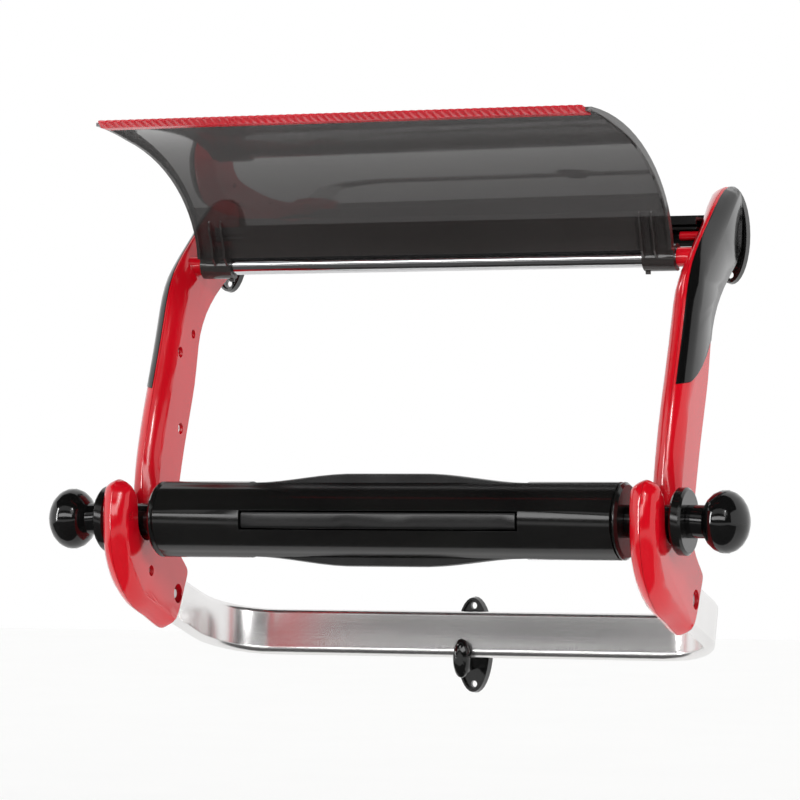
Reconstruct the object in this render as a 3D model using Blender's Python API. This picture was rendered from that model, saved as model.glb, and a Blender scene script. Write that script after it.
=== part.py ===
"""Wall-mounted stand for a wide paper roll.

Two side arms, each screwed together from an inner and an outer shell, hang on wall
brackets. A top beam, a hinge tube and a bent bar that rests in a third bracket tie them
together. The arms end in open cradles that hold a spindle with four bowed leaf springs.
A smoke-coloured hood with a toothed strip along its free edge turns on the hinge tube.

Units are metres. +X runs along the wall, +Y goes into the wall and +Z is up. The origin
is on the wall, at the middle of the bottom bracket's back.
"""
import math

import bmesh
import bpy
from mathutils import Matrix, Vector

MM = 0.001
GAP = 0.3 * MM
SMOOTH_UNDER = 20.0           # degrees; flatter edges than this are shaded smooth

# ---------------------------------------------------------------- driving dimensions
ARM_X = 244.5 * MM            # middle plane of each side arm
ARM_T = 25.0 * MM             # thickness of an arm along the wall
ARM_WALL = 3.6 * MM
RIDGE_HEIGHT = 11.0 * MM      # the front's ridge stands this far proud of the arm's faces
RIDGE_SOFTNESS = 0.08         # rounding of the ridge, as a share of the half thickness
CREASE_SHARE = 0.4            # the rest of the front's section is a plain arc
ARC_REACH = 0.93
EDGE_FALL = 0.22              # extra fall of the outer face's rounded edge
COVER_START = 2.5 * MM        # the cover begins this far outside the arm's middle plane
COVER_PROUD = 0.4 * MM        # the cover stands this far proud of the bare arm
COVER_SEAT = 2.6 * MM         # depth of the arm's recess under the cover

BRACKET_HALF_W = 17.3 * MM
BRACKET_HALF_H = 44.0 * MM
BRACKET_T = 8.0 * MM
BRACKET_FLOOR = 5.0 * MM      # plate thickness inside the raised rim
BRACKET_HOLE_Z = 35.7 * MM
BRACKET_HOLE_R = 3.1 * MM
TOP_BRACKET_Z = 369.2 * MM
NECK_W = 11.0 * MM
NECK_TOP = -11.4 * MM         # height of the neck's upper side, from the bracket's middle
NECK_BOTTOM = -24.5 * MM
BUTTON_Y = -34.0 * MM         # back face of the button, from the wall
BUTTON_T = 8.5 * MM
BUTTON_HALF_W = 8.0 * MM
BUTTON_HALF_H = 17.8 * MM
BUTTON_DROP = 11.0 * MM       # the button's middle sits this far below the bracket's
BRACKET_RIM = 3.2 * MM
KEYHOLE_PLAY = 0.7 * MM       # clearance round the button and its neck inside an arm
KEYHOLE_FOOT = 300.0 * MM     # the keyholes are open below this height

SPINDLE_Y = -212.0 * MM
SPINDLE_Z = 116.0 * MM
CORE_HALF = 212.0 * MM
CORE_R = 33.5 * MM
CORE_BORE = 27.5 * MM
CAP_T = 6.2 * MM
AXLE_R = 6.0 * MM
AXLE_END = 300.0 * MM         # half length of the rod through the spindle
SLEEVE_R = 14.2 * MM
CRADLE_R = 16.0 * MM
FLANGE_R = 29.0 * MM
FLANGE_T = 10.5 * MM
FLANGE_X = 262.3 * MM         # inner face of each flange
KNOB_R = 27.0 * MM
KNOB_HALF = 20.5 * MM         # the knob's half length along the spindle
KNOB_X = 304.5 * MM
KNOB_NECK_ANGLE = math.radians(148)   # from the knob's pole back to its neck
LEAF_HALF = 127.0 * MM
LEAF_W = 14.0 * MM
LEAF_T = 2.4 * MM
LEAF_TONGUE = 8.0 * MM        # the part of a leaf's end that hooks under the core's wall
LEAF_CROWN_R = 40.4 * MM
SLOT_W = 17.0 * MM
SLOT_HALF = 129.5 * MM
LEAF_ANGLES = {"front": 180.0, "top": 90.0, "back": 0.0, "bottom": 270.0}
SIDES = (("left", -1), ("right", 1))

TUBE_Y = -100.0 * MM
TUBE_Z = 345.5 * MM
TUBE_R = 8.6 * MM
TUBE_BORE = 7.0 * MM
BOSS_LENGTH = 5.0 * MM        # boss on each arm that the hinge tube butts against
SPIGOT_LENGTH = 12.0 * MM     # the boss's spigot inside the tube

BEAM_Y0 = -66.0 * MM
BEAM_Y1 = -10.5 * MM
BEAM_Z0 = 356.5 * MM
BEAM_Z1 = 382.5 * MM
BEAM_BACK_TOP = 387.0 * MM    # the back wall stands above the top flange
BEAM_WALL = 3.0 * MM
LUG_LENGTH = 16.0 * MM
LUG_R = 4.2 * MM
LUG_Y = -60.0 * MM
LUG_Z = 366.0 * MM

HOOD_HALF = 226.0 * MM
HOOD_T = 3.0 * MM
HOOD_FLANGE = 7.0 * MM
HOOD_STEPS = 18               # steps along the hood's curve
RIB_HEIGHT = 5.0 * MM
RIB_T = 1.8 * MM
CLIP_W = 29.5 * MM            # width of each hinge clip, inwards from the hood's end
CLIP_T = 3.2 * MM
CLIP_RIBS = (199.0 * MM, 210.5 * MM)
STRIP_PITCH = 7.0 * MM
STRIP_TOOTH = 2.8 * MM
STRIP_T = 1.8 * MM
STRIP_FRONT = 7.8 * MM        # the teeth's roots stand this far past the hood's free edge
STRIP_BACK = 14.0 * MM        # the strip reaches this far back under the hood

BAR_TILT = math.radians(17.0)
BAR_Y = -21.0 * MM
BAR_Z = 9.9 * MM
BAR_H = 43.0 * MM
BAR_T = 12.0 * MM
BAR_BEND = 55.0 * MM
BAR_REACH = 150.0 * MM        # from the bar's long run to its ends
BAR_ARC_STEPS = 10
BOLT_REACH = 130.5 * MM
BOLT_ACCESS_R = 8.8 * MM      # hole through the arm for the bolt's head
BOLT_HOLE_R = 4.2 * MM        # hole through the bar
BOLT_R = 3.9 * MM

SCREW_SPOTS = {"upper": (-113.0, 283.0), "cover": (-141.0, 266.0), "middle": (-141.0, 197.0),
               "cradle": (-203.0, 70.0), "tip": (-245.0, 119.0)}
SCREW_R = {"upper": 4.2 * MM, "cover": 5.0 * MM, "middle": 5.2 * MM, "cradle": 5.0 * MM,
           "tip": 3.2 * MM}
SCREW_POCKET = 6.0 * MM


# ---------------------------------------------------------------- materials
def principled(name, colour, roughness, metallic=0.0, alpha=1.0):
    material = bpy.data.materials.new(name)
    material.use_nodes = True
    shader = material.node_tree.nodes["Principled BSDF"]
    shader.inputs["Base Color"].default_value = (*colour, 1.0)
    shader.inputs["Roughness"].default_value = roughness
    shader.inputs["Metallic"].default_value = metallic
    shader.inputs["Alpha"].default_value = alpha
    material.diffuse_color = (*colour, alpha)
    return material


# ---------------------------------------------------------------- mesh helpers
def clear_scene():
    for item in list(bpy.data.objects):
        bpy.data.objects.remove(item)


def make_object(name, mesh_data, material=None, location=(0, 0, 0)):
    """Turn a bmesh into a named object with its faces pointing out, and free the bmesh."""
    bmesh.ops.recalc_face_normals(mesh_data, faces=mesh_data.faces)
    mesh = bpy.data.meshes.new(name)
    mesh_data.to_mesh(mesh)
    mesh_data.free()
    item = bpy.data.objects.new(name, mesh)
    bpy.context.collection.objects.link(item)
    item.location = location
    if material is not None:
        mesh.materials.append(material)
    return item


def loft(rings, close_path=False):
    """Skin a list of closed rings; the two end rings are capped unless the path closes."""
    data = bmesh.new()
    rows = [[data.verts.new(point) for point in ring] for ring in rings]
    count = len(rows[0])
    pairs = list(zip(rows, rows[1:]))
    if close_path:
        pairs.append((rows[-1], rows[0]))
    for row, following in pairs:
        for i in range(count):
            j = (i + 1) % count
            data.faces.new((row[i], row[j], following[j], following[i]))
    if not close_path:
        data.faces.new(rows[0])
        data.faces.new(rows[-1])
    return data


def slab_x(outline, x0, x1):
    """Extrude a closed outline of (y, z) points from x0 to x1."""
    return loft([[(x, y, z) for y, z in outline] for x in (x0, x1)])


def box_data(low, high):
    outline = [(low[1], low[2]), (high[1], low[2]), (high[1], high[2]), (low[1], high[2])]
    return slab_x(outline, low[0], high[0])


def circle(radius, steps):
    return [(radius * math.cos(math.tau * i / steps),
             radius * math.sin(math.tau * i / steps)) for i in range(steps)]


def turned_x(profile, steps, centre=(0.0, 0.0)):
    """Revolve (x, radius) points about a line along X; zero radii become poles."""
    data = bmesh.new()
    rows = []
    for x, radius in profile:
        if radius <= 0.0:
            rows.append([data.verts.new((x, centre[0], centre[1]))])
            continue
        rows.append([data.verts.new((x, centre[0] + y, centre[1] + z))
                     for y, z in circle(radius, steps)])
    for row, following in zip(rows, rows[1:]):
        for i in range(steps):
            j = (i + 1) % steps
            corners = [row[i % len(row)], row[j % len(row)],
                       following[j % len(following)], following[i % len(following)]]
            data.faces.new(list(dict.fromkeys(corners)))
    for row in (rows[0], rows[-1]):
        if len(row) > 1:
            data.faces.new(row)
    return data


def ring_x(inner, outer, x0, x1, steps, centre=(0.0, 0.0), chamfer=0.0):
    """A bored disc or tube along X, closed, with an outer chamfer at both ends."""
    profile = [(x0, inner), (x0, outer - chamfer), (x0 + chamfer, outer),
               (x1 - chamfer, outer), (x1, outer - chamfer), (x1, inner)]
    if chamfer == 0.0:
        profile = [(x0, inner), (x0, outer), (x1, outer), (x1, inner)]
    sections = []
    for i in range(steps):
        angle = math.tau * i / steps
        sections.append([(x, centre[0] + radius * math.cos(angle),
                          centre[1] + radius * math.sin(angle)) for x, radius in profile])
    return loft(sections, close_path=True)


def catmull_rom(points, steps):
    """Closed smooth curve through the points, with the given steps on each span."""
    curve = []
    count = len(points)
    for i in range(count):
        a, b, c, d = (Vector(points[(i + k) % count]) for k in (-1, 0, 1, 2))
        for step in range(steps):
            t = step / steps
            point = 0.5 * (2 * b + (c - a) * t + (2 * a - 5 * b + 4 * c - d) * t * t
                           + (3 * b - a - 3 * c + d) * t ** 3)
            curve.append((point.x, point.y))
    return curve


def outward_normals(outline):
    """Unit normals of a closed (y, z) outline, pointing away from its inside."""
    area = sum(p[0] * q[1] - q[0] * p[1] for p, q in zip(outline, outline[1:] + outline[:1]))
    turn = 1.0 if area > 0 else -1.0
    normals = []
    count = len(outline)
    for i in range(count):
        before = Vector(outline[i - 1])
        after = Vector(outline[(i + 1) % count])
        along = (after - before).normalized()
        normals.append((turn * along.y, -turn * along.x))
    return normals


def boolean(target, tool, operation="DIFFERENCE"):
    """Cut, join or intersect the target with the tool, which is used up."""
    modifier = target.modifiers.new(operation.lower(), "BOOLEAN")
    modifier.operation = operation
    modifier.solver = "EXACT"
    modifier.object = tool
    depsgraph = bpy.context.evaluated_depsgraph_get()
    shaped = bpy.data.meshes.new_from_object(target.evaluated_get(depsgraph))
    target.modifiers.clear()
    target.data = shaped
    bpy.data.objects.remove(tool)


def shade_round_faces():
    """Smooth shading everywhere but across real edges."""
    for item in bpy.data.objects:
        if item.type == "MESH":
            item.data.shade_smooth()
            item.data.set_sharp_from_angle(angle=math.radians(SMOOTH_UNDER))


def hang_on_pivot(name, y, z, names):
    """Parent the named pieces to an empty on the axis that they move about or along."""
    pivot = bpy.data.objects.new(name, None)
    pivot.location = (0.0, y, z)
    bpy.context.collection.objects.link(pivot)
    for piece in names:
        item = bpy.data.objects[piece]
        item.parent = pivot
        item.matrix_parent_inverse = Matrix.Translation((0.0, -y, -z))


# ---------------------------------------------------------------- wall brackets
def ellipse_slab(half_w, half_h, y0, y1, steps, centre_z=0.0, taper=0.0):
    """An oval plate between two distances from the wall, smaller by the taper at y1."""
    rings = []
    for y, grow in ((y0, 0.0), (y1, -taper)):
        rings.append([((half_w + grow) * math.cos(math.tau * i / steps), y,
                       centre_z + (half_h + grow) * math.sin(math.tau * i / steps))
                      for i in range(steps)])
    return loft(rings)


def button_data():
    """The oval button with its domed front, in the bracket's own coordinates."""
    rings = []
    steps = 24
    layers = ((BUTTON_Y, 0.86), (BUTTON_Y - 1.6 * MM, 1.0), (BUTTON_Y - 4.6 * MM, 0.98),
              (BUTTON_Y - 7.2 * MM, 0.8), (BUTTON_Y - BUTTON_T, 0.45))
    for y, scale in layers:
        rings.append([(BUTTON_HALF_W * scale * math.cos(math.tau * i / steps), y,
                       -BUTTON_DROP + BUTTON_HALF_H * scale * math.sin(math.tau * i / steps))
                      for i in range(steps)])
    return loft(rings)


def wall_bracket(name, x, z, material):
    """Oval plate with a raised rim and two screw holes, and a button on a neck."""
    place = (x, 0.0, z)
    plate = make_object(name, ellipse_slab(BRACKET_HALF_W, BRACKET_HALF_H, 0.0, -BRACKET_T,
                                           36, taper=1.0 * MM), material, place)
    recess = make_object(name + "_recess", ellipse_slab(
        BRACKET_HALF_W - BRACKET_RIM, BRACKET_HALF_H - BRACKET_RIM, -BRACKET_FLOOR,
        -BRACKET_T - 2 * MM, 36), location=place)
    boolean(plate, recess)
    for side in (-1, 1):
        hole_z = side * BRACKET_HOLE_Z
        hole = make_object(f"{name}_hole_{side}", ellipse_slab(
            BRACKET_HOLE_R, BRACKET_HOLE_R, 1 * MM, -BRACKET_T, 14, centre_z=hole_z),
            location=place)
        boolean(plate, hole)
    neck_outline = [(-BRACKET_FLOOR + 1 * MM, NECK_TOP), (BUTTON_Y - 2 * MM, NECK_TOP),
                    (BUTTON_Y - 2 * MM, NECK_BOTTOM), (BUTTON_Y + 6 * MM, NECK_BOTTOM + 2 * MM),
                    (-BRACKET_FLOOR + 1 * MM, NECK_BOTTOM + 4 * MM)]
    neck = make_object(name + "_neck", slab_x(neck_outline, -NECK_W / 2, NECK_W / 2),
                       location=place)
    boolean(plate, neck, "UNION")
    button = make_object(name + "_button", button_data(), location=place)
    boolean(plate, button, "UNION")


# ---------------------------------------------------------------- side arms
def slot_arc():
    """The cradle's round seat, from its wall side round to its lip side."""
    points = []
    for i in range(7):
        angle = -math.pi * i / 6
        points.append((SPINDLE_Y + CRADLE_R * math.cos(angle),
                       SPINDLE_Z + CRADLE_R * math.sin(angle)))
    return points


def millimetres(points):
    return [(y * MM, z * MM) for y, z in points]


def arm_outline():
    """Side outline of an arm as (y, z) points, and how far each point's rim falls back from
    the ridge on the outer and on the inner side. The inner side of the head slants most."""
    head_front = millimetres([(-17, 411.5), (-44, 401), (-74, 380), (-103, 359), (-124, 340)])
    shin = millimetres([(-137, 319), (-146, 296), (-155, 272), (-166, 245), (-178, 216),
                        (-189, 185), (-195.5, 160)])
    lip = millimetres([(-229, 134), (-233.5, 146), (-243.5, 151.5), (-254, 146)])
    lip_front = millimetres([(-260, 130), (-261.5, 108), (-259, 88), (-251, 70), (-237, 53),
                             (-214, 37.5), (-188, 28.5), (-166, 20)])
    heel = millimetres([(-154, 17), (-146.5, 21.5), (-139, 34), (-129, 52), (-122.5, 64),
                        (-124, 72.5), (-136, 82.5), (-147, 94), (-151, 108)])
    back = millimetres([(-147, 126), (-139, 151), (-129, 180), (-117, 210), (-107, 236),
                        (-100.5, 262), (-95, 281), (-82, 300), (-62, 317), (-38, 332),
                        (-17, 346.5), (-9.6, 360), (-9.4, 384), (-9.8, 400)])
    slot = slot_arc()
    points = head_front + shin + slot + lip + lip_front + heel + back
    full, low = 1.0, 0.3
    weights = ([0.45, 0.9, 1.25, 1.25, 1.1] + [full] * len(shin) + [low] * len(slot)
               + [low, 0.66, 0.66, 0.74, 0.88] + [full] * (len(lip_front) - 1)
               + [0.8, 0.5] + [low] * (len(heel) - 2 + len(back) - 2) + [0.1] * 2)
    inner_head = [0.6, 1.2, 2.0, 2.0, 1.5, 1.05, 1.0]
    inner_weights = inner_head + weights[len(inner_head):]
    return points, weights, inner_weights


def ridge_fall(share):
    """Fall of the rounded front from its soft ridge; share runs from -1 to 1 across it."""
    crease = math.hypot(share, RIDGE_SOFTNESS) - RIDGE_SOFTNESS
    crease /= math.hypot(1.0, RIDGE_SOFTNESS) - RIDGE_SOFTNESS
    arc = 1.0 - math.sqrt(1.0 - (ARC_REACH * share) ** 2)
    arc /= 1.0 - math.sqrt(1.0 - ARC_REACH ** 2)
    return CREASE_SHARE * crease + (1.0 - CREASE_SHARE) * arc


def arm_rings(side, half_t, grow=0.0):
    """Rings of an arm from its inner to its outer face; grow swells it all round."""
    points, outer_weights, inner_weights = arm_outline()
    steps = 2
    outline = catmull_rom(points, steps)
    outer_side, inner_side = (
        [max(0.1, w) for w, _ in catmull_rom([(w, 0.0) for w in weights], steps)]
        for weights in (outer_weights, inner_weights))
    normals = outward_normals(outline)
    across = [(share, ridge_fall(share)) for share in
              (-1.0, -0.86, -0.6, -0.3, -0.1, 0.0, 0.1, 0.3, 0.6, 0.86)]
    across.append((1.0, ridge_fall(1.0) + EDGE_FALL))
    rings = []
    for share, fall in across:
        ring = []
        strength = outer_side if share > 0 else inner_side
        for (y, z), (ny, nz), weight in zip(outline, normals, strength):
            shift = grow - RIDGE_HEIGHT * fall * weight
            ring.append((side * (ARM_X + share * half_t), y + ny * shift, z + nz * shift))
        rings.append(ring)
    return rings


def cover_region(side, inner, spread):
    """Prism that bounds a cover: the arm's outer part above a curved lower end."""
    end = millimetres([(-240, 233), (-172, 233), (-158, 235.5), (-143, 241), (-128, 249),
                       (-115, 259), (-104, 271), (-80, 285)])
    outline = [(y, z - spread) for y, z in end] + millimetres([(20, 285), (20, 440), (-240, 440)])
    return slab_x(outline, side * (ARM_X + inner), side * (ARM_X + 30 * MM))


def bar_frame(reach, across, side_x):
    """A point of the tilted bar: reach runs from the wall run to the ends, across is up."""
    along = Vector((0.0, -math.cos(BAR_TILT), math.sin(BAR_TILT)))
    up = Vector((0.0, math.sin(BAR_TILT), math.cos(BAR_TILT)))
    return Vector((side_x, BAR_Y, BAR_Z)) + along * reach + up * across


def flat_oval(height, thickness, steps):
    """(thickness, height) points of a flat oval section."""
    radius = thickness / 2
    points = []
    for sign in (1, -1):
        for i in range(steps + 1):
            angle = math.pi * i / steps
            points.append((sign * radius * math.cos(angle),
                           sign * (height / 2 - radius + radius * math.sin(angle))))
    return points


def bar_slot(name, side):
    """Cutter for the pocket that takes the bar's end."""
    section = flat_oval(BAR_H + 2 * GAP, BAR_T + 2 * GAP, BAR_ARC_STEPS)
    rings = []
    for reach in (60 * MM, BAR_REACH + GAP):
        rings.append([bar_frame(reach, across, side * ARM_X + off) for off, across in section])
    return make_object(name, loft(rings))


def half_space(name, side, start, stop):
    """Tall box between two distances from the arm's middle plane."""
    ends = sorted((side * (ARM_X + start), side * (ARM_X + stop)))
    return make_object(name, box_data((ends[0], -400 * MM, -100 * MM),
                                      (ends[1], 100 * MM, 500 * MM)))


def side_arm(label, side, material, cover_material):
    """One arm: an inner shell, an outer shell and the cover over the outer one."""
    half_t = ARM_T / 2
    arm = make_object(f"arm_inner_{label}", loft(arm_rings(side, half_t)), material)

    # the black cover is a thin shell over the arm's upper outer half
    shell = make_object(f"arm_cover_{label}",
                        loft(arm_rings(side, half_t + COVER_PROUD, COVER_PROUD)), cover_material)
    under = COVER_SEAT - GAP
    inside = make_object(f"cover_inside_{label}", loft(arm_rings(side, half_t - under, -under)))
    region = make_object(f"cover_region_{label}", cover_region(side, COVER_START, 0.0))
    boolean(shell, region, "INTERSECT")
    boolean(shell, inside)

    # the arm is recessed under the cover by the cover's own thickness
    past = 2 * MM
    skin = make_object(f"cover_seat_{label}", loft(arm_rings(side, half_t + past, past)))
    core = make_object(f"cover_core_{label}",
                       loft(arm_rings(side, half_t - COVER_SEAT, -COVER_SEAT)))
    seat_region = make_object(f"cover_seat_region_{label}",
                              cover_region(side, COVER_START - GAP, GAP))
    boolean(skin, seat_region, "INTERSECT")
    boolean(skin, core)
    boolean(arm, skin)

    # open back of the moulding, between the head and the heel
    trough = millimetres([(-160, 150), (-147, 190), (-134, 228), (-121, 262), (-113, 280),
                          (-60, 290), (-60, 250), (-80, 200), (-100, 130), (-150, 120)])
    hollow = make_object(f"arm_hollow_{label}", slab_x(
        trough, side * (ARM_X - half_t + ARM_WALL), side * (ARM_X + half_t - ARM_WALL - COVER_SEAT)))
    boolean(arm, hollow)

    # keyhole that hangs on the bracket's button, open downwards
    for target in (arm, shell):
        wide = BUTTON_HALF_W + KEYHOLE_PLAY
        chamber = box_data(
            (side * ARM_X - wide, BUTTON_Y - BUTTON_T - KEYHOLE_PLAY, KEYHOLE_FOOT),
            (side * ARM_X + wide, BUTTON_Y + KEYHOLE_PLAY,
             TOP_BRACKET_Z - BUTTON_DROP + BUTTON_HALF_H + KEYHOLE_PLAY))
        boolean(target, make_object(f"keyhole_chamber_{label}", chamber))
        narrow = NECK_W / 2 + KEYHOLE_PLAY
        throat = box_data(
            (side * ARM_X - narrow, BUTTON_Y - BUTTON_T / 2, KEYHOLE_FOOT - 1 * MM),
            (side * ARM_X + narrow, 5 * MM, TOP_BRACKET_Z + NECK_TOP + GAP))
        boolean(target, make_object(f"keyhole_throat_{label}", throat))

    boolean(arm, bar_slot(f"arm_bar_slot_{label}", side))

    # through hole for the bar's bolt
    bolt_at = bar_frame(BOLT_REACH, 0.0, 0.0)
    bolt_hole = make_object(f"arm_bolt_hole_{label}", turned_x(
        [(side * ARM_X - 20 * MM, BOLT_ACCESS_R), (side * ARM_X + 20 * MM, BOLT_ACCESS_R)], 20,
        (bolt_at.y, bolt_at.z)))
    boolean(arm, bolt_hole)

    inner_x = side * (ARM_X - half_t)
    for spot, (y, z) in SCREW_SPOTS.items():
        pocket = make_object(f"arm_pocket_{spot}_{label}", turned_x(
            [(inner_x - side * 5 * MM, SCREW_R[spot]),
             (inner_x + side * SCREW_POCKET, SCREW_R[spot])], 18, (y * MM, z * MM)))
        boolean(arm, pocket)

    # the lug that plugs into the beam's open front
    root = inner_x + side * 8 * MM
    lug = make_object(f"arm_lug_{label}", turned_x(
        [(root, LUG_R), (inner_x - side * LUG_LENGTH, LUG_R)],
        20, (LUG_Y, LUG_Z)))
    boolean(arm, lug, "UNION")

    # the boss and spigot that carry the hinge tube's end
    boss_end = inner_x - side * BOSS_LENGTH
    boss = make_object(f"arm_boss_{label}", turned_x(
        [(root, TUBE_R), (boss_end, TUBE_R),
         (boss_end, TUBE_BORE - GAP), (boss_end - side * SPIGOT_LENGTH, TUBE_BORE - GAP)],
        28, (TUBE_Y, TUBE_Z)))
    boolean(arm, boss, "UNION")

    # the arm parts along its ridge into two shells
    outer = bpy.data.objects.new(f"arm_outer_{label}", arm.data.copy())
    bpy.context.collection.objects.link(outer)
    boolean(arm, half_space(f"inner_half_{label}", side, -60 * MM, -GAP / 2), "INTERSECT")
    boolean(outer, half_space(f"outer_half_{label}", side, GAP / 2, 60 * MM), "INTERSECT")


def pocket_screw(label, side, spot, material):
    """Pan-head screw at the bottom of one of the arm's inner-face pockets."""
    y, z = SCREW_SPOTS[spot]
    floor = side * (ARM_X - ARM_T / 2) + side * (SCREW_POCKET - GAP)
    radius = SCREW_R[spot] - 0.8 * MM
    profile = [(floor, 0.0), (floor, radius), (floor - side * 1.6 * MM, radius),
               (floor - side * 2.6 * MM, radius * 0.7), (floor - side * 2.6 * MM, 0.0)]
    make_object(f"screw_{spot}_{label}", turned_x(profile, 12, (y * MM, z * MM)), material)


# ---------------------------------------------------------------- cross members
def top_beam(material):
    """Open-fronted channel between the arms, with a front lip and a shelf under its top."""
    y0, y1, z0, z1, wall = BEAM_Y0, BEAM_Y1, BEAM_Z0, BEAM_Z1, BEAM_WALL
    lip = z1 - 6.5 * MM
    shelf_top, shelf_bottom = z1 - 8.7 * MM, z1 - 10.9 * MM
    shelf_y = y0 + 2 * MM
    back = y1 - wall
    outline = [(y0, z0), (y1, z0), (y1, BEAM_BACK_TOP), (back, BEAM_BACK_TOP), (back, z1),
               (y0, z1), (y0, lip), (y0 + wall, lip), (y0 + wall, z1 - wall), (back, z1 - wall),
               (back, shelf_top), (shelf_y, shelf_top), (shelf_y, shelf_bottom),
               (back, shelf_bottom), (back, z0 + wall), (y0, z0 + wall)]
    half = ARM_X - ARM_T / 2 - GAP
    make_object("top_beam", slab_x(outline, -half, half), material)


def hinge_tube(material):
    half = ARM_X - ARM_T / 2 - BOSS_LENGTH - GAP
    make_object("hinge_tube", ring_x(TUBE_BORE, TUBE_R, -half, half, 28, (TUBE_Y, TUBE_Z)),
                material)


def bent_bar(material):
    """Flat oval bar bent into a U, lying in a plane that drops towards the wall."""
    path = []
    straight = ARM_X - BAR_BEND
    path.append((-ARM_X, BAR_REACH, 0.0))
    bend_steps = 8
    for i in range(bend_steps + 1):
        angle = math.pi / 2 * i / bend_steps
        path.append((-straight - BAR_BEND * math.cos(angle),
                     BAR_BEND - BAR_BEND * math.sin(angle), angle))
    mirrored = [(-x, reach, math.pi - angle) for x, reach, angle in reversed(path)]
    section = flat_oval(BAR_H, BAR_T, BAR_ARC_STEPS)
    rings = []
    for x, reach, angle in path + mirrored:
        outward = Vector((-math.cos(angle), -math.sin(angle)))
        ring = []
        for off, across in section:
            ring.append(bar_frame(reach + off * outward.y, across, x + off * outward.x))
        rings.append(ring)
    bar = make_object("bent_bar", loft(rings), material)
    at = bar_frame(BOLT_REACH, 0.0, 0.0)
    for side in (-1, 1):
        hole = make_object(f"bar_hole_{side}", turned_x(
            [(side * ARM_X - BAR_T, BOLT_HOLE_R), (side * ARM_X + BAR_T, BOLT_HOLE_R)], 16,
            (at.y, at.z)))
        boolean(bar, hole)


def bar_bolt(label, side, material):
    """Bolt through the bar's end: a head towards the outside and a plain shank."""
    at = bar_frame(BOLT_REACH, 0.0, 0.0)
    face = BAR_T / 2 + GAP
    profile = [(-face - 3 * MM, 0.0), (-face - 3 * MM, BOLT_R), (face, BOLT_R),
               (face, 7.6 * MM), (face + 2.2 * MM, 7.6 * MM), (face + 3.4 * MM, 5.2 * MM),
               (face + 3.4 * MM, 0.0)]
    placed = [(side * (ARM_X + x), radius) for x, radius in profile]
    make_object(f"bar_bolt_{label}", turned_x(placed, 18, (at.y, at.z)), material)


# ---------------------------------------------------------------- hood
def bezier(start, handle_a, handle_b, end, steps):
    curve = []
    for i in range(steps + 1):
        t = i / steps
        point = (Vector(start) * (1 - t) ** 3 + Vector(handle_a) * 3 * t * (1 - t) ** 2
                 + Vector(handle_b) * 3 * t * t * (1 - t) + Vector(end) * t ** 3)
        curve.append((point.x, point.y))
    return curve


def hood_curve(steps):
    """Outer side of the hood sheet as (y, z), from the hinge to the free edge."""
    return bezier((-0.1105, 0.3520), (-0.1170, 0.4070), (-0.1960, 0.4590), (-0.3295, 0.4592), steps)


def offset_curve(curve, amount):
    """Shift an open (y, z) curve towards the hood's hollow side."""
    moved = []
    for i, (y, z) in enumerate(curve):
        before = Vector(curve[max(i - 1, 0)])
        after = Vector(curve[min(i + 1, len(curve) - 1)])
        along = (after - before).normalized()
        moved.append((y - along.y * amount, z + along.x * amount))
    return moved


def curved_sheet():
    """The hood's sheet, with a shallow flange along both ends on its hollow side."""
    outer = hood_curve(HOOD_STEPS)
    inner = offset_curve(outer, HOOD_T)
    flange = offset_curve(outer, HOOD_FLANGE)
    for i, share in ((-3, 0.7), (-2, 0.35), (-1, 0.0)):
        rim = Vector(inner[i]).lerp(Vector(flange[i]), share)
        flange[i] = (rim.x, rim.y)
    edge = HOOD_HALF - HOOD_T
    data = bmesh.new()
    stations = ((-HOOD_HALF, flange), (-edge, flange), (-edge, inner), (edge, inner),
                (edge, flange), (HOOD_HALF, flange))
    outer_x = (-HOOD_HALF, -edge, edge, HOOD_HALF)
    top = [[data.verts.new((x, y, z)) for y, z in outer] for x in outer_x]
    under = [[data.verts.new((x, y, z)) for y, z in curve] for x, curve in stations]
    count = len(outer)
    for rows in (top, under):
        for row, following in zip(rows, rows[1:]):
            for i in range(count - 1):
                data.faces.new((row[i], row[i + 1], following[i + 1], following[i]))
    for row, low in ((top[0], under[0]), (top[-1], under[-1])):
        for i in range(count - 1):
            data.faces.new((row[i], row[i + 1], low[i + 1], low[i]))
    for end in (0, -1):
        data.faces.new((top[0][end], top[1][end], under[2][end], under[1][end], under[0][end]))
        data.faces.new((top[1][end], top[2][end], under[3][end], under[2][end]))
        data.faces.new((top[2][end], top[3][end], under[5][end], under[4][end], under[3][end]))
    return data


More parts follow.
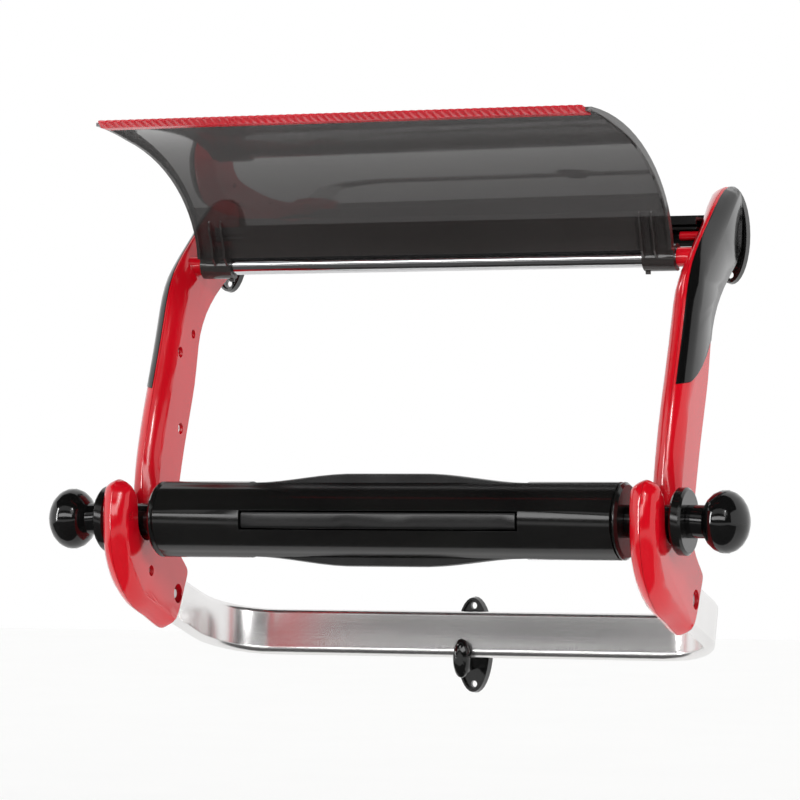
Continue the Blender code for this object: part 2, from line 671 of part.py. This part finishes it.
def add_hinge_clip(sheet, label, side):
    """Open ring round the hinge tube, moulded on the hood's lower corner with two ribs."""
    bore = TUBE_R + GAP
    outer = bore + CLIP_T
    open_from, open_to = math.radians(-62), math.radians(22)
    arc_steps = 24
    arc = [open_to + (math.tau + open_from - open_to) * i / arc_steps
           for i in range(arc_steps + 1)]
    ring = [(TUBE_Y + outer * math.cos(a), TUBE_Z + outer * math.sin(a)) for a in arc]
    ring += [(TUBE_Y + bore * math.cos(a), TUBE_Z + bore * math.sin(a)) for a in reversed(arc)]
    x0, x1 = sorted((side * (HOOD_HALF - CLIP_W), side * HOOD_HALF))
    boolean(sheet, make_object(f"clip_ring_{label}", slab_x(ring, x0, x1)), "UNION")

    low = hood_curve(HOOD_STEPS)[0]
    web = [(low[0], low[1] + 1 * MM), (low[0] - HOOD_T, low[1] + 1 * MM),
           (TUBE_Y - outer + 1.6 * MM, TUBE_Z + 1 * MM), (TUBE_Y - bore - 1.2 * MM, TUBE_Z + 5 * MM)]
    boolean(sheet, make_object(f"clip_web_{label}", slab_x(web, x0, x1)), "UNION")

    foot = TUBE_Z - outer
    nub_x = side * CLIP_RIBS[0]
    nub = [(TUBE_Y - 1.8 * MM, foot + 1.5 * MM), (TUBE_Y - 1.2 * MM, foot - 2.6 * MM),
           (TUBE_Y + 1.2 * MM, foot - 2.6 * MM), (TUBE_Y + 1.8 * MM, foot + 1.5 * MM)]
    boolean(sheet, make_object(f"clip_nub_{label}", slab_x(nub, nub_x - 2 * MM, nub_x + 2 * MM)),
            "UNION")

    curve = hood_curve(HOOD_STEPS)[:5]
    crest = offset_curve(curve, HOOD_T + RIB_HEIGHT)
    rib_outline = ([(TUBE_Y - outer + 1.2 * MM, TUBE_Z - 2 * MM)]
                   + offset_curve(curve, HOOD_T - 1.2 * MM) + list(reversed(crest[:-1])))
    for i, rib_x in enumerate(CLIP_RIBS):
        rib = make_object(f"clip_rib_{label}_{i}", slab_x(
            rib_outline, side * rib_x - RIB_T / 2, side * rib_x + RIB_T / 2))
        boolean(sheet, rib, "UNION")


def hood(material):
    sheet = make_object("hood", curved_sheet(), material)
    for label, side in SIDES:
        add_hinge_clip(sheet, label, side)


def tooth_strip(material):
    """Strip under the hood's free edge whose nose rises in front of it into a row of teeth."""
    curve = hood_curve(HOOD_STEPS)
    end = Vector(curve[-1])
    along = (end - Vector(curve[-3])).normalized()
    inward = Vector((-along.y, along.x))
    seat = HOOD_T + GAP
    teeth = int(2 * (HOOD_HALF - HOOD_T - GAP) / STRIP_PITCH)
    half = teeth * STRIP_PITCH / 2
    rings = []
    for i in range(2 * teeth + 1):
        reach = STRIP_FRONT + STRIP_TOOTH * (i % 2)
        profile = [(-STRIP_BACK, seat + STRIP_T), (-STRIP_BACK, seat), (GAP, seat), (GAP, 0.4 * MM),
                   (reach, -0.6 * MM), (reach, 0.8 * MM), (1.5 * MM, seat + STRIP_T)]
        points = [end + along * out + inward * depth for out, depth in profile]
        rings.append([(-half + i * STRIP_PITCH / 2, p.x, p.y) for p in points])
    make_object("cutter_strip", loft(rings), material)


# ---------------------------------------------------------------- spindle
def core_section(steps):
    """Tube section with four flat rails where the leaves lie and facets between them."""
    points = []
    for i in range(steps):
        angle = math.tau * i / steps
        from_rail = abs((angle + math.pi / 4) % (math.pi / 2) - math.pi / 4)
        radius = CORE_R if from_rail < math.radians(17) else CORE_R - 1.3 * MM
        points.append((radius * math.cos(angle), radius * math.sin(angle)))
    return points


def spindle_core(material):
    section = core_section(48)
    ring = circle(CORE_BORE, 48)
    rings = []
    for x, points in ((-CORE_HALF, ring), (-CORE_HALF, section), (CORE_HALF, section),
                      (CORE_HALF, ring)):
        rings.append([(x, SPINDLE_Y + y, SPINDLE_Z + z) for y, z in points])
    core = make_object("spindle_core", loft(rings, close_path=True), material)
    for name, degrees in LEAF_ANGLES.items():
        slot = make_object(f"core_slot_{name}", box_data(
            (-SLOT_HALF, CORE_BORE - 6 * MM, -SLOT_W / 2),
            (SLOT_HALF, CORE_R + 6 * MM, SLOT_W / 2)))
        slot.matrix_world = (Matrix.Translation((0, SPINDLE_Y, SPINDLE_Z))
                             @ Matrix.Rotation(math.radians(degrees), 4, "X"))
        boolean(core, slot)


def leaf_lift(x):
    """Height of a leaf's back above the spindle's axis: level ends, long flat crown."""
    share = min(1.0, max(0.0, (LEAF_HALF - abs(x)) / (LEAF_HALF - 34 * MM)))
    low = CORE_R - 1.0 * MM
    return low + (LEAF_CROWN_R - low) * share * share * (3 - 2 * share)


def leaf_spring(name, degrees, material):
    """Bowed leaf with deep sides; a tongue at each end hooks under the core's wall."""
    foot = CORE_BORE - GAP - LEAF_T
    half = LEAF_W / 2
    edge = 2 * MM
    stations = 20
    rings = []
    for i in range(stations + 1):
        x = -LEAF_HALF + 2 * LEAF_HALF * i / stations
        lift = leaf_lift(x)
        rings.append([(x, foot, -half), (x, lift - LEAF_T * 0.45, -half),
                      (x, lift, -half + edge), (x, lift, half - edge),
                      (x, lift - LEAF_T * 0.45, half), (x, foot, half)])
    leaf = make_object(f"leaf_spring_{name}", loft(rings), material)
    reach = LEAF_HALF + LEAF_TONGUE
    under_wall = math.sqrt((CORE_BORE - 1.5 * GAP) ** 2 - (half - edge) ** 2)
    tongue = make_object(f"leaf_tongue_{name}", box_data(
        (-reach, foot - LEAF_T, -half + edge), (reach, under_wall, half - edge)))
    boolean(leaf, tongue, "UNION")
    leaf.matrix_world = (Matrix.Translation((0, SPINDLE_Y, SPINDLE_Z))
                         @ Matrix.Rotation(math.radians(degrees), 4, "X"))


def spindle_end(label, side, material):
    """The pieces on one end of the rod: core cap, neck sleeve, flange disc and knob."""
    centre = (SPINDLE_Y, SPINDLE_Z)
    cap_x = sorted((side * (CORE_HALF + GAP), side * (CORE_HALF + CAP_T)))
    make_object(f"core_cap_{label}", ring_x(
        AXLE_R + 0.5 * MM, CORE_R, cap_x[0], cap_x[1], 36, centre, chamfer=2.4 * MM), material)

    sleeve_x = sorted((side * (CORE_HALF + CAP_T + GAP), side * (FLANGE_X - GAP)))
    make_object(f"neck_sleeve_{label}", ring_x(
        AXLE_R + GAP, SLEEVE_R, sleeve_x[0], sleeve_x[1], 28, centre), material)

    flange_x = sorted((side * FLANGE_X, side * (FLANGE_X + FLANGE_T)))
    make_object(f"flange_{label}", ring_x(
        AXLE_R + GAP, FLANGE_R, flange_x[0], flange_x[1], 36, centre, chamfer=2.0 * MM), material)

    knob_profile = [(FLANGE_X + FLANGE_T + GAP, 0.0), (FLANGE_X + FLANGE_T + GAP, SLEEVE_R),
                    (KNOB_X - KNOB_HALF * 0.86, SLEEVE_R)]
    rings = 9
    for i in range(rings):
        angle = KNOB_NECK_ANGLE * (1 - i / rings)
        knob_profile.append((KNOB_X + KNOB_HALF * math.cos(angle), KNOB_R * math.sin(angle)))
    knob_profile.append((KNOB_X + KNOB_HALF, 0.0))
    placed = [(side * x, radius) for x, radius in knob_profile]
    knob = make_object(f"knob_{label}", turned_x(placed, 28, centre), material)
    bore = make_object(f"knob_bore_{label}", turned_x(
        [(side * FLANGE_X, AXLE_R + GAP), (side * (AXLE_END + GAP), AXLE_R + GAP)], 20, centre))
    boolean(knob, bore)


def axle_rod(material):
    chamfer = 1 * MM
    make_object("axle_rod", turned_x(
        [(-AXLE_END, AXLE_R - chamfer), (-AXLE_END + chamfer, AXLE_R),
         (AXLE_END - chamfer, AXLE_R), (AXLE_END, AXLE_R - chamfer)], 20,
        (SPINDLE_Y, SPINDLE_Z)), material)


# ---------------------------------------------------------------- assembly
def build():
    clear_scene()
    black = principled("black_plastic", (0.018, 0.018, 0.019), 0.28)
    satin_black = principled("satin_black_plastic", (0.03, 0.03, 0.031), 0.38)
    red = principled("red_plastic", (0.62, 0.012, 0.03), 0.22)
    smoke = principled("smoke_plastic", (0.06, 0.055, 0.055), 0.08, alpha=0.6)
    steel = principled("polished_steel", (0.62, 0.62, 0.63), 0.2, metallic=1.0)
    satin_metal = principled("satin_aluminium", (0.58, 0.57, 0.56), 0.33, metallic=1.0)

    wall_bracket("wall_bracket_bottom", 0.0, 0.0, black)
    for label, side in SIDES:
        wall_bracket(f"wall_bracket_{label}", side * ARM_X, TOP_BRACKET_Z, black)
    before_frame = set(bpy.data.objects.keys())
    for label, side in SIDES:
        side_arm(label, side, red, black)
        for spot in SCREW_SPOTS:
            pocket_screw(label, side, spot, steel)
        bar_bolt(label, side, steel)
    top_beam(satin_black)
    hinge_tube(steel)
    bent_bar(satin_metal)
    hang_on_pivot("frame_carrier", 0.0, 0.0, sorted(set(bpy.data.objects.keys()) - before_frame))

    hood(smoke)
    tooth_strip(red)
    hang_on_pivot("hood_pivot", TUBE_Y, TUBE_Z, ["hood", "cutter_strip"])

    before_spindle = set(bpy.data.objects.keys())
    for label, side in SIDES:
        spindle_end(label, side, satin_black)
    axle_rod(steel)
    spindle_core(satin_black)
    for name, degrees in LEAF_ANGLES.items():
        leaf_spring(name, degrees, black)
    hang_on_pivot("spindle_pivot", SPINDLE_Y, SPINDLE_Z,
                  sorted(set(bpy.data.objects.keys()) - before_spindle))
    shade_round_faces()


build()
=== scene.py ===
"""Looks of the wall-mounted roll stand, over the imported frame."""
import math

import bmesh
import bpy
import numpy as np
from mathutils import Matrix, Vector


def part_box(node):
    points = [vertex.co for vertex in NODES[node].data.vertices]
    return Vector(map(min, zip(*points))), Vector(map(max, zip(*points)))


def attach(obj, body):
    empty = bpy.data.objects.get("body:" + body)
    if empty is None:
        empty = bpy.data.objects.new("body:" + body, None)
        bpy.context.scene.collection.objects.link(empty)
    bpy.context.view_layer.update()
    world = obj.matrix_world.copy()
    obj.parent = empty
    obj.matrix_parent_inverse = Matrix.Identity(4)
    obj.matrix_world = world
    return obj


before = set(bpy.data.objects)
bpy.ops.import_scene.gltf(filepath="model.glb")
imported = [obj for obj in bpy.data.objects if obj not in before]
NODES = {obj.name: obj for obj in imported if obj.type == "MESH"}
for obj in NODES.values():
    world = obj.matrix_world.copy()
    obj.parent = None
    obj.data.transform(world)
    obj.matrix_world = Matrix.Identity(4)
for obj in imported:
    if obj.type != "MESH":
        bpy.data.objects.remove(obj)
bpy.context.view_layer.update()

MM = 0.001

# camera at the photograph's place: azimuth and elevation of the line back to it, in radians
AZIMUTH, ELEVATION = math.radians(21.62), math.radians(-0.90)
DISTANCE = 3.812
LENS = 192.6
AIM = Vector((-0.027, -0.120, 0.2218))

# the hood's thick hinge clips are below CLIP_TOP, and its tint fades over CLIP_FADE above it
CLIP_TOP, CLIP_FADE = 0.352, 12 * MM
SHEET_ALPHA, CLIP_ALPHA = 0.81, 0.95
PLASTIC_IOR = 1.5
FACET_ANGLE = 32.0            # facets of a round face meet at less than this, in degrees
COVER_ANGLE = 62.0            # the arm covers are soft, so their blends are shaded together


# ---------------------------------------------------------------- node helpers
class Nodes:
    """Short way to build a material's node tree."""

    def __init__(self, name):
        self.material = bpy.data.materials.new(name)
        self.material.use_nodes = True
        self.tree = self.material.node_tree
        self.shader = self.tree.nodes["Principled BSDF"]
        self.place = self.add("ShaderNodeTexCoord").outputs["Object"]

    def add(self, kind, **settings):
        node = self.tree.nodes.new(kind)
        for key, value in settings.items():
            setattr(node, key, value)
        return node

    def link(self, source, target):
        self.tree.links.new(source, target)

    def constant(self, **values):
        """Set sockets of the Principled shader, named with underscores for spaces."""
        for key, value in values.items():
            self.shader.inputs[key.replace("_", " ")].default_value = value

    def noise(self, scale, detail=2.0, roughness=0.5, stretch=(1.0, 1.0, 1.0)):
        mapping = self.add("ShaderNodeMapping")
        mapping.inputs["Scale"].default_value = stretch
        self.link(self.place, mapping.inputs["Vector"])
        node = self.add("ShaderNodeTexNoise")
        node.inputs["Scale"].default_value = scale
        node.inputs["Detail"].default_value = detail
        node.inputs["Roughness"].default_value = roughness
        self.link(mapping.outputs["Vector"], node.inputs["Vector"])
        return node.outputs["Fac"]

    def ramp(self, source, low, high, start=0.3, stop=0.7):
        """Colour or grey that runs from low to high as the source goes from start to stop."""
        node = self.add("ShaderNodeValToRGB")
        node.color_ramp.elements[0].position = start
        node.color_ramp.elements[1].position = stop
        node.color_ramp.elements[0].color = (*low, 1.0)
        node.color_ramp.elements[1].color = (*high, 1.0)
        self.link(source, node.inputs["Fac"])
        return node.outputs["Color"]

    def spread(self, source, low, high):
        """A number that runs from low to high with the source."""
        node = self.add("ShaderNodeMapRange")
        node.inputs["From Min"].default_value = 0.3
        node.inputs["From Max"].default_value = 0.7
        node.inputs["To Min"].default_value = low
        node.inputs["To Max"].default_value = high
        self.link(source, node.inputs["Value"])
        return node.outputs["Result"]

    def relief(self, source, depth, edge=0.0):
        """Bump of the given depth in metres, over edges softened to the given radius."""
        node = self.add("ShaderNodeBump")
        node.inputs["Strength"].default_value = 1.0
        node.inputs["Distance"].default_value = depth
        self.link(source, node.inputs["Height"])
        if edge > 0.0:
            soft = self.add("ShaderNodeBevel", samples=4)
            soft.inputs["Radius"].default_value = edge
            self.link(soft.outputs["Normal"], node.inputs["Normal"])
        self.link(node.outputs["Normal"], self.shader.inputs["Normal"])


def moulded(name, low, high, gloss, edge=0.6 * MM, peel=0.012 * MM, coat=0.0):
    """Injection-moulded plastic: cloudy colour, handling marks in the gloss, orange peel."""
    n = Nodes(name)
    n.link(n.ramp(n.noise(9.0, 3.0), low, high), n.shader.inputs["Base Color"])
    marks = n.noise(38.0, 6.0, 0.7, (1.0, 1.0, 0.6))
    n.link(n.spread(marks, gloss[0], gloss[1]), n.shader.inputs["Roughness"])
    n.relief(n.noise(420.0, 2.0), peel, edge)
    n.constant(IOR=PLASTIC_IOR, Coat_Weight=coat, Coat_Roughness=0.04)
    return n.material


def brushed(name, low, high, gloss, stretch, scratch=0.01 * MM):
    """Metal with fine marks, drawn out along X where stretch is small there."""
    n = Nodes(name)
    lines = n.noise(900.0, 2.0, 0.5, stretch)
    clouds = n.noise(14.0, 3.0)
    n.link(n.ramp(clouds, low, high), n.shader.inputs["Base Color"])
    n.link(n.spread(lines, gloss[0], gloss[1]), n.shader.inputs["Roughness"])
    n.relief(lines, scratch, edge=0.3 * MM)
    n.constant(Metallic=1.0)
    return n.material


def smoked(name):
    """Clear plastic tinted like smoke, denser where it is thick round the hinge, with scuffs."""
    n = Nodes(name)
    n.link(n.ramp(n.noise(7.0, 3.0), (0.030, 0.027, 0.026), (0.036, 0.033, 0.032)),
           n.shader.inputs["Base Color"])
    scuffs = n.noise(60.0, 6.0, 0.75, (0.4, 1.0, 1.0))
    n.link(n.spread(scuffs, 0.03, 0.09), n.shader.inputs["Roughness"])
    height = n.add("ShaderNodeSeparateXYZ")
    n.link(n.place, height.inputs["Vector"])
    deep = n.add("ShaderNodeMapRange")
    deep.inputs["From Min"].default_value = CLIP_TOP + CLIP_FADE
    deep.inputs["From Max"].default_value = CLIP_TOP
    deep.inputs["To Min"].default_value = SHEET_ALPHA
    deep.inputs["To Max"].default_value = CLIP_ALPHA
    n.link(height.outputs["Z"], deep.inputs["Value"])
    n.link(deep.outputs["Result"], n.shader.inputs["Alpha"])
    n.relief(n.noise(160.0, 2.0), 0.006 * MM, edge=0.4 * MM)
    n.constant(IOR=PLASTIC_IOR)
    return n.material


RED = moulded("red_gloss", (0.57, 0.003, 0.010), (0.63, 0.004, 0.014), (0.09, 0.15), coat=0.2)
STRIP_RED = moulded("strip_red", (0.50, 0.006, 0.016), (0.58, 0.010, 0.022), (0.2, 0.3),
                    edge=0.2 * MM)
BLACK = moulded("black_gloss", (0.003, 0.003, 0.003), (0.005, 0.005, 0.005), (0.07, 0.12))
LEAF_BLACK = moulded("leaf_black", (0.004, 0.004, 0.004), (0.007, 0.007, 0.007), (0.20, 0.27),
                     peel=0.006 * MM)
SATIN = moulded("satin_black", (0.004, 0.004, 0.004), (0.008, 0.008, 0.0075), (0.12, 0.19),
                peel=0.008 * MM)
BEAM = moulded("beam_black", (0.005, 0.005, 0.005), (0.008, 0.008, 0.008), (0.20, 0.28),
               edge=0.3 * MM)
SMOKE = smoked("smoke_clear")
CHROME = brushed("tube_chrome", (0.62, 0.62, 0.63), (0.68, 0.68, 0.69), (0.08, 0.12),
                 (0.01, 1.0, 1.0), scratch=0.0005 * MM)
BAR = brushed("bar_satin", (0.80, 0.79, 0.785), (0.86, 0.85, 0.845), (0.23, 0.26),
              (0.002, 0.5, 1.0), scratch=0.0)
STEEL = brushed("screw_steel", (0.74, 0.74, 0.75), (0.82, 0.82, 0.83), (0.36, 0.46),
                (1.0, 1.0, 1.0))

LOOKS = {"arm_inner": RED, "arm_outer": RED, "arm_cover": BLACK, "wall_bracket": BLACK,
         "knob": BLACK, "leaf_spring": LEAF_BLACK, "spindle_core": SATIN, "core_cap": SATIN,
         "neck_sleeve": SATIN, "flange": SATIN, "top_beam": BEAM, "hood": SMOKE,
         "cutter_strip": STRIP_RED, "hinge_tube": CHROME, "bent_bar": BAR, "axle_rod": STEEL,
         "bar_bolt": STEEL, "screw": STEEL}


# ---------------------------------------------------------------- smooth shading
def smooth_across(item, degrees, by_area=True):
    """Average the face normals at each corner with those of neighbours within the angle.
    Weighted by area, flat faces stay flat; unweighted, they look gently crowned."""
    mesh = item.data
    count = len(mesh.polygons)
    normals = np.empty(count * 3)
    areas = np.empty(count)
    mesh.polygons.foreach_get("normal", normals)
    mesh.polygons.foreach_get("area", areas)
    normals = normals.reshape(-1, 3)
    corner_vertex = np.empty(len(mesh.loops), int)
    mesh.loops.foreach_get("vertex_index", corner_vertex)
    corner_face = np.empty(len(mesh.loops), int)
    for face in mesh.polygons:
        corner_face[face.loop_start:face.loop_start + face.loop_total] = face.index
    points = np.empty(len(mesh.vertices) * 3)
    mesh.vertices.foreach_get("co", points)
    _, same = np.unique(np.round(points.reshape(-1, 3), 6), axis=0, return_inverse=True)
    same = same.reshape(-1)
    meeting = {}
    for vertex, face in zip(corner_vertex, corner_face):
        meeting.setdefault(same[vertex], set()).add(face)
    limit = math.cos(math.radians(degrees))
    soft = np.empty((len(corner_vertex), 3))
    for i, (vertex, face) in enumerate(zip(corner_vertex, corner_face)):
        around = list(meeting[same[vertex]])
        near = [f for f in around if normals[f] @ normals[face] > limit]
        total = (normals[near] * areas[near, None]).sum(0) if by_area else normals[near].sum(0)
        size = np.linalg.norm(total)
        soft[i] = total / size if size > 0 else normals[face]
    mesh.shade_smooth()
    mesh.normals_split_custom_set(soft.tolist())


for name, item in NODES.items():
    look = next(mat for start, mat in LOOKS.items() if name.startswith(start))
    item.data.materials.clear()
    item.data.materials.append(look)
    if name.startswith("arm_cover"):
        smooth_across(item, COVER_ANGLE, by_area=False)
    else:
        smooth_across(item, FACET_ANGLE)


# ---------------------------------------------------------------- hub inside the spindle core
def core_hub(name, profile, sides=48):
    """Turned tube round the spindle's axis, from a closed loop of (x, radius) points. It closes
    the view through the gaps round the leaves. It has no CAD solid."""
    low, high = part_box("spindle_core")
    centre_y, centre_z = (low[1] + high[1]) / 2, (low[2] + high[2]) / 2
    turned = bmesh.new()
    rings = [[turned.verts.new((x, centre_y + radius * math.cos(math.tau * i / sides),
                                centre_z + radius * math.sin(math.tau * i / sides)))
              for i in range(sides)] for x, radius in profile]
    for ring, following in zip(rings, rings[1:] + rings[:1]):
        for i in range(sides):
            j = (i + 1) % sides
            turned.faces.new((ring[i], ring[j], following[j], following[i]))
    bmesh.ops.recalc_face_normals(turned, faces=turned.faces)
    mesh = bpy.data.meshes.new(name)
    turned.to_mesh(mesh)
    turned.free()
    item = bpy.data.objects.new(name, mesh)
    mesh.materials.append(SATIN)
    bpy.context.scene.collection.objects.link(item)
    smooth_across(item, FACET_ANGLE)
    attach(item, "core")


HUB_BORE, HUB_R, RIB_R = 11.0 * MM, 13.0 * MM, 26.5 * MM
HUB_END, RIB_OUT, RIB_IN = 190 * MM, 176 * MM, 172 * MM
core_hub("core_hub", ((-HUB_END, HUB_BORE), (-HUB_END, HUB_R), (-RIB_OUT, HUB_R),
                      (-RIB_OUT, RIB_R), (-RIB_IN, RIB_R), (-RIB_IN, HUB_R),
                      (RIB_IN, HUB_R), (RIB_IN, RIB_R), (RIB_OUT, RIB_R), (RIB_OUT, HUB_R),
                      (HUB_END, HUB_R), (HUB_END, HUB_BORE)))


# ---------------------------------------------------------------- surroundings
def plain_material(name, colour):
    n = Nodes(name)
    n.link(n.ramp(n.noise(3.0, 2.0), colour, tuple(min(1.0, c * 1.01) for c in colour)),
           n.shader.inputs["Base Color"])
    n.constant(Roughness=0.9)
    return n.material


def glowing(name, strength):
    n = Nodes(name)
    n.link(n.ramp(n.noise(2.0), (0.96, 0.96, 0.96), (1.0, 1.0, 1.0)),
           n.shader.inputs["Emission Color"])
    n.constant(Emission_Strength=strength, Base_Color=(0.0, 0.0, 0.0, 1.0), Roughness=1.0)
    return n.material


def card(name, centre, width, height, normal, material):
    """Flat upright or level card facing along the normal."""
    data = bmesh.new()
    normal = Vector(normal).normalized()
    up = Vector((0, 0, 1)) if abs(normal.z) < 0.9 else Vector((0, 1, 0))
    across = up.cross(normal).normalized()
    up = normal.cross(across)
    corners = [Vector(centre) + across * sx * width / 2 + up * sz * height / 2
               for sx, sz in ((-1, -1), (1, -1), (1, 1), (-1, 1))]
    data.faces.new([data.verts.new(p) for p in corners])
    mesh = bpy.data.meshes.new(name)
    data.to_mesh(mesh)
    data.free()
    item = bpy.data.objects.new(name, mesh)
    mesh.materials.append(material)
    bpy.context.scene.collection.objects.link(item)
    return item


def hide_card(item, shades):
    """Seen only in reflections, like the cards of a photographer's set, and by diffuse light
    too if it shades."""
    item.visible_camera = False
    item.visible_diffuse = shades
    item.visible_transmission = False
    item.visible_shadow = False
    item.visible_volume_scatter = False


FLOOR_Z, FLOOR_SIDE = -0.62, 30.0
card("floor", (0, 0, FLOOR_Z), FLOOR_SIDE, FLOOR_SIDE, (0, 0, 1),
     plain_material("floor_pale", (0.97, 0.97, 0.965)))
DARK = plain_material("card_black", (0.004, 0.004, 0.004))
GREY = plain_material("card_grey", (0.05, 0.05, 0.05))
WHITE = glowing("card_white", 5.0)
DIM = glowing("card_dim", 0.7)

# each card: centre, width, height, the way it faces
DARK_CARDS = (((0.0, -2.2, 1.6), 9.0, 3.2, (0, 1, 0)),
              ((0.0, -0.9, 2.6), 9.0, 3.4, (0, 0, -1)))
GREY_CARDS = (((0.0, -1.9, FLOOR_Z + 0.02), 9.0, 3.4, (0, 0, 1)),)
WHITE_CARDS = (((-0.2, -2.1, 0.60), 3.4, 0.42, (0, 1, 0)),)
DIM_CARDS = (((0.0, -2.1, 1.75), 5.0, 1.0, (0, 1, 0)),)
for cards, look in ((DARK_CARDS, DARK), (GREY_CARDS, GREY), (WHITE_CARDS, WHITE),
                    (DIM_CARDS, DIM)):
    for place, width, height, normal in cards:
        item = card("reflected_card", place, width, height, normal, look)
        hide_card(item, shades=look is DARK)


def soft_light(name, place, aim, power, width, height, in_gloss=True):
    light = bpy.data.lights.new(name, "AREA")
    light.shape = "RECTANGLE"
    light.size, light.size_y = width, height
    light.energy = power
    item = bpy.data.objects.new(name, light)
    bpy.context.scene.collection.objects.link(item)
    item.location = place
    back = (Vector(place) - Vector(aim)).normalized()
    item.rotation_euler = back.to_track_quat("Z", "Y").to_euler()
    item.visible_glossy = in_gloss


LIT_POINT = (0, -0.15, 0.2)
soft_light("key", (1.7, -2.3, 1.5), LIT_POINT, 52, 0.4, 1.2)
soft_light("fill", (-2.2, -1.6, 0.7), LIT_POINT, 34, 0.25, 1.6)
soft_light("top", (0.2, -0.5, 2.4), LIT_POINT, 18, 1.6, 0.8, in_gloss=False)

world = bpy.data.worlds.new("studio")
bpy.context.scene.world = world
world.use_nodes = True
world.node_tree.nodes["Background"].inputs["Color"].default_value = (1.0, 1.0, 1.0, 1.0)
world.node_tree.nodes["Background"].inputs["Strength"].default_value = 1.0
bpy.context.scene.view_settings.view_transform = "Standard"

# ---------------------------------------------------------------- camera
back = Vector((math.sin(AZIMUTH) * math.cos(ELEVATION), -math.cos(AZIMUTH) * math.cos(ELEVATION),
               math.sin(ELEVATION)))
right = Vector((0, 0, 1)).cross(back).normalized()
above = back.cross(right)
camera = bpy.data.objects.new("camera", bpy.data.cameras.new("camera"))
bpy.context.scene.collection.objects.link(camera)
camera.matrix_world = (Matrix.Translation(AIM + back * DISTANCE)
                       @ Matrix((right, above, back)).transposed().to_4x4())
camera.data.lens = LENS
camera.data.clip_start = 0.1
camera.data.clip_end = 60
bpy.context.scene.camera = camera
